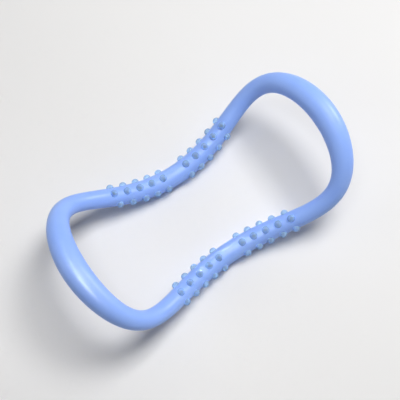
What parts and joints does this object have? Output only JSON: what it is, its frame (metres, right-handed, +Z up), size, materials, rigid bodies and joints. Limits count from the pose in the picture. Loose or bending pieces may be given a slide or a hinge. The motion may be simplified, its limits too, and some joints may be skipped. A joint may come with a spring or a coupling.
{
  "type": "pilates ring",
  "caption": "Closed hourglass loop of light blue tube, low at its waists and raised at its ends, with rows of soft round nubs on every side of each waist.",
  "frame": {"origin": "on the surface that the ring stands on, under the middle of its outline", "axes": "+X along the ring towards the right end, +Y across it towards the back waist, +Z up"},
  "size_m": [0.24, 0.1228, 0.0857],
  "materials": {
    "ring_plastic": "satin to soft gloss, light periwinkle blue, smooth",
    "nub_rubber": "slightly translucent soft rubber of the same blue, satin"
  },
  "bodies": {
    "root": {"upper_shell": "ring_plastic", "lower_shell": "ring_plastic", "nub_strip_front_left_top": "nub_rubber", "nub_strip_front_left_bottom": "nub_rubber", "nub_strip_front_left_inner": "nub_rubber", "nub_strip_front_left_outer": "nub_rubber", "nub_strip_front_right_top": "nub_rubber", "nub_strip_front_right_bottom": "nub_rubber", "nub_strip_front_right_inner": "nub_rubber", "nub_strip_front_right_outer": "nub_rubber", "nub_strip_back_left_top": "nub_rubber", "nub_strip_back_left_bottom": "nub_rubber", "nub_strip_back_left_inner": "nub_rubber", "nub_strip_back_left_outer": "nub_rubber", "nub_strip_back_right_top": "nub_rubber", "nub_strip_back_right_bottom": "nub_rubber", "nub_strip_back_right_inner": "nub_rubber", "nub_strip_back_right_outer": "nub_rubber"}
  },
  "joints": []
}
